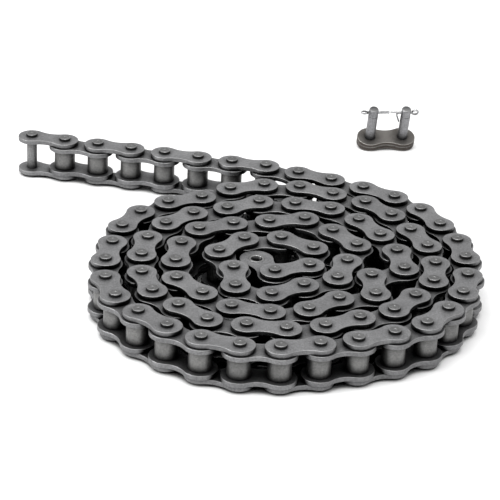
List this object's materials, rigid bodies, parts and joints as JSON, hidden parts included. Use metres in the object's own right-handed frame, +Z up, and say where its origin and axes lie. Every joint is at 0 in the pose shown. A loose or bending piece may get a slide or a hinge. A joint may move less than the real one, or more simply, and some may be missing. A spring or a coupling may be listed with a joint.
{
  "type": "roller chain",
  "caption": "Riveted roller chain lying on its side as a loose spiral coil with a straight free tail, next to its loose connecting link with cotter pins.",
  "frame": {"origin": "on the floor the chain lies on, under the centre of the footprint of coil, tail and connecting link", "axes": "+Z up, along every chain pin; the straight tail runs along X with its free end at -X; the coil lies to -Y of the tail and the connecting link to +Y"},
  "size_m": [0.4532, 0.516, 0.047],
  "materials": {
    "plates": "satin",
    "pins": "satin",
    "bushes": "satin",
    "rollers": "satin",
    "link_plates": "satin",
    "cotters": "polished"
  },
  "bodies": {
    "coil": {"coil_outer_plates_top": "plates", "coil_outer_plates_bottom": "plates", "coil_inner_plates_top": "plates", "coil_inner_plates_bottom": "plates", "coil_pins": "pins", "coil_bushes": "bushes", "coil_rollers": "rollers"},
    "inner_link_8": {"inner_link_8_plates": "plates", "inner_link_8_bushes": "bushes"},
    "roller_8a": {"roller_8a": "rollers"},
    "roller_8b": {"roller_8b": "rollers"},
    "outer_link_8": {"outer_link_8_plates": "plates", "outer_link_8_pins": "pins"},
    "inner_link_7": {"inner_link_7_plates": "plates", "inner_link_7_bushes": "bushes"},
    "roller_7a": {"roller_7a": "rollers"},
    "roller_7b": {"roller_7b": "rollers"},
    "outer_link_7": {"outer_link_7_plates": "plates", "outer_link_7_pins": "pins"},
    "inner_link_6": {"inner_link_6_plates": "plates", "inner_link_6_bushes": "bushes"},
    "roller_6a": {"roller_6a": "rollers"},
    "roller_6b": {"roller_6b": "rollers"},
    "outer_link_6": {"outer_link_6_plates": "plates", "outer_link_6_pins": "pins"},
    "inner_link_5": {"inner_link_5_plates": "plates", "inner_link_5_bushes": "bushes"},
    "roller_5a": {"roller_5a": "rollers"},
    "roller_5b": {"roller_5b": "rollers"},
    "outer_link_5": {"outer_link_5_plates": "plates", "outer_link_5_pins": "pins"},
    "inner_link_4": {"inner_link_4_plates": "plates", "inner_link_4_bushes": "bushes"},
    "roller_4a": {"roller_4a": "rollers"},
    "roller_4b": {"roller_4b": "rollers"},
    "outer_link_4": {"outer_link_4_plates": "plates", "outer_link_4_pins": "pins"},
    "inner_link_3": {"inner_link_3_plates": "plates", "inner_link_3_bushes": "bushes"},
    "roller_3a": {"roller_3a": "rollers"},
    "roller_3b": {"roller_3b": "rollers"},
    "outer_link_3": {"outer_link_3_plates": "plates", "outer_link_3_pins": "pins"},
    "inner_link_2": {"inner_link_2_plates": "plates", "inner_link_2_bushes": "bushes"},
    "roller_2a": {"roller_2a": "rollers"},
    "roller_2b": {"roller_2b": "rollers"},
    "outer_link_2": {"outer_link_2_plates": "plates", "outer_link_2_pins": "pins"},
    "inner_link_1": {"inner_link_1_plates": "plates", "inner_link_1_bushes": "bushes"},
    "roller_1a": {"roller_1a": "rollers"},
    "roller_1b": {"roller_1b": "rollers"},
    "outer_link_1": {"outer_link_1_plates": "plates", "outer_link_1_pins": "pins"},
    "connecting_link": {"connecting_link_pin_plate": "link_plates", "connecting_link_pins": "pins"},
    "cover_plate": {"connecting_link_cover_plate": "link_plates"},
    "cotter_pin_1": {"cotter_pin_1": "cotters"},
    "cotter_pin_2": {"cotter_pin_2": "cotters"}
  },
  "joints": [
    {"name": "pin_17_hinge", "type": "hinge", "parent": "coil", "child": "inner_link_8", "pos_m": [0.21219, -0.07698, 0.0204], "axis": [0, 0, -1], "range_deg": [0, 25]},
    {"name": "roller_8a_spin", "type": "hinge", "parent": "inner_link_8", "child": "roller_8a", "pos_m": [0.20667, -0.04571, 0.0204], "axis": [0, 0, 1], "continuous": true},
    {"name": "roller_8b_spin", "type": "hinge", "parent": "inner_link_8", "child": "roller_8b", "pos_m": [0.21219, -0.07698, 0.0204], "axis": [0, 0, 1], "continuous": true},
    {"name": "pin_16_hinge", "type": "hinge", "parent": "inner_link_8", "child": "outer_link_8", "pos_m": [0.20667, -0.04571, 0.0204], "axis": [0, 0, 1], "range_deg": [-25, 0]},
    {"name": "pin_15_hinge", "type": "hinge", "parent": "outer_link_8", "child": "inner_link_7", "pos_m": [0.19582, -0.01587, 0.0204], "axis": [0, 0, -1], "range_deg": [0, 30]},
    {"name": "roller_7a_spin", "type": "hinge", "parent": "inner_link_7", "child": "roller_7a", "pos_m": [0.17761, 0.01013, 0.0204], "axis": [0, 0, 1], "continuous": true},
    {"name": "roller_7b_spin", "type": "hinge", "parent": "inner_link_7", "child": "roller_7b", "pos_m": [0.19582, -0.01587, 0.0204], "axis": [0, 0, 1], "continuous": true},
    {"name": "pin_14_hinge", "type": "hinge", "parent": "inner_link_7", "child": "outer_link_7", "pos_m": [0.17761, 0.01013, 0.0204], "axis": [0, 0, 1], "range_deg": [-35, 0]},
    {"name": "pin_13_hinge", "type": "hinge", "parent": "outer_link_7", "child": "inner_link_6", "pos_m": [0.1572, 0.03446, 0.0204], "axis": [0, 0, -1], "range_deg": [0, 40]},
    {"name": "roller_6a_spin", "type": "hinge", "parent": "inner_link_6", "child": "roller_6a", "pos_m": [0.13119, 0.05267, 0.0204], "axis": [0, 0, 1], "continuous": true},
    {"name": "roller_6b_spin", "type": "hinge", "parent": "inner_link_6", "child": "roller_6b", "pos_m": [0.1572, 0.03446, 0.0204], "axis": [0, 0, 1], "continuous": true},
    {"name": "pin_12_hinge", "type": "hinge", "parent": "inner_link_6", "child": "outer_link_6", "pos_m": [0.13119, 0.05267, 0.0204], "axis": [0, 0, 1], "range_deg": [-45, 0]},
    {"name": "pin_11_hinge", "type": "hinge", "parent": "outer_link_6", "child": "inner_link_5", "pos_m": [0.10135, 0.06353, 0.0204], "axis": [0, 0, -1], "range_deg": [0, 60]},
    {"name": "roller_5a_spin", "type": "hinge", "parent": "inner_link_5", "child": "roller_5a", "pos_m": [0.07068, 0.07174, 0.0204], "axis": [0, 0, 1], "continuous": true},
    {"name": "roller_5b_spin", "type": "hinge", "parent": "inner_link_5", "child": "roller_5b", "pos_m": [0.10135, 0.06353, 0.0204], "axis": [0, 0, 1], "continuous": true},
    {"name": "pin_10_hinge", "type": "hinge", "parent": "inner_link_5", "child": "outer_link_5", "pos_m": [0.07068, 0.07174, 0.0204], "axis": [0, 0, 1], "range_deg": [-70, 0]},
    {"name": "pin_9_hinge", "type": "hinge", "parent": "outer_link_5", "child": "inner_link_4", "pos_m": [0.03942, 0.07726, 0.0204], "axis": [0, 0, -1], "range_deg": [-15, 80]},
    {"name": "roller_4a_spin", "type": "hinge", "parent": "inner_link_4", "child": "roller_4a", "pos_m": [0.00815, 0.08277, 0.0204], "axis": [0, 0, 1], "continuous": true},
    {"name": "roller_4b_spin", "type": "hinge", "parent": "inner_link_4", "child": "roller_4b", "pos_m": [0.03942, 0.07726, 0.0204], "axis": [0, 0, 1], "continuous": true},
    {"name": "pin_8_hinge", "type": "hinge", "parent": "inner_link_4", "child": "outer_link_4", "pos_m": [0.00815, 0.08277, 0.0204], "axis": [0, 0, 1], "range_deg": [-90, 35]},
    {"name": "pin_7_hinge", "type": "hinge", "parent": "outer_link_4", "child": "inner_link_3", "pos_m": [-0.0236, 0.08277, 0.0204], "axis": [0, 0, -1], "range_deg": [-45, 90]},
    {"name": "roller_3a_spin", "type": "hinge", "parent": "inner_link_3", "child": "roller_3a", "pos_m": [-0.05535, 0.08277, 0.0204], "axis": [0, 0, 1], "continuous": true},
    {"name": "roller_3b_spin", "type": "hinge", "parent": "inner_link_3", "child": "roller_3b", "pos_m": [-0.0236, 0.08277, 0.0204], "axis": [0, 0, 1], "continuous": true},
    {"name": "pin_6_hinge", "type": "hinge", "parent": "inner_link_3", "child": "outer_link_3", "pos_m": [-0.05535, 0.08277, 0.0204], "axis": [0, 0, 1], "range_deg": [-90, 60]},
    {"name": "pin_5_hinge", "type": "hinge", "parent": "outer_link_3", "child": "inner_link_2", "pos_m": [-0.0871, 0.08277, 0.0204], "axis": [0, 0, -1], "range_deg": [-75, 90]},
    {"name": "roller_2a_spin", "type": "hinge", "parent": "inner_link_2", "child": "roller_2a", "pos_m": [-0.11885, 0.08277, 0.0204], "axis": [0, 0, 1], "continuous": true},
    {"name": "roller_2b_spin", "type": "hinge", "parent": "inner_link_2", "child": "roller_2b", "pos_m": [-0.0871, 0.08277, 0.0204], "axis": [0, 0, 1], "continuous": true},
    {"name": "pin_4_hinge", "type": "hinge", "parent": "inner_link_2", "child": "outer_link_2", "pos_m": [-0.11885, 0.08277, 0.0204], "axis": [0, 0, 1], "range_deg": [-90, 90]},
    {"name": "pin_3_hinge", "type": "hinge", "parent": "outer_link_2", "child": "inner_link_1", "pos_m": [-0.1506, 0.08277, 0.0204], "axis": [0, 0, -1], "range_deg": [-90, 90]},
    {"name": "roller_1a_spin", "type": "hinge", "parent": "inner_link_1", "child": "roller_1a", "pos_m": [-0.18235, 0.08277, 0.0204], "axis": [0, 0, 1], "continuous": true},
    {"name": "roller_1b_spin", "type": "hinge", "parent": "inner_link_1", "child": "roller_1b", "pos_m": [-0.1506, 0.08277, 0.0204], "axis": [0, 0, 1], "continuous": true},
    {"name": "pin_2_hinge", "type": "hinge", "parent": "inner_link_1", "child": "outer_link_1", "pos_m": [-0.18235, 0.08277, 0.0204], "axis": [0, 0, 1], "range_deg": [-90, 90]},
    {"name": "connecting_link_lift", "type": "slide", "parent": "coil", "child": "connecting_link", "axis": [0, 0, 1], "range_m": [0, 0.06]},
    {"name": "cover_plate_slide", "type": "slide", "parent": "connecting_link", "child": "cover_plate", "axis": [0.0994, -0.306, 0.9468], "range_m": [0, 0.019]},
    {"name": "cotter_pin_1_pull", "type": "slide", "parent": "connecting_link", "child": "cotter_pin_1", "axis": [-0.9511, -0.309, 0], "range_m": [0, 0.03]},
    {"name": "cotter_pin_2_swivel", "type": "hinge", "parent": "connecting_link", "child": "cotter_pin_2", "pos_m": [0.11524, 0.2341, 0.04156], "axis": [0.9511, 0.309, 0], "range_deg": [-30, 30]}
  ]
}
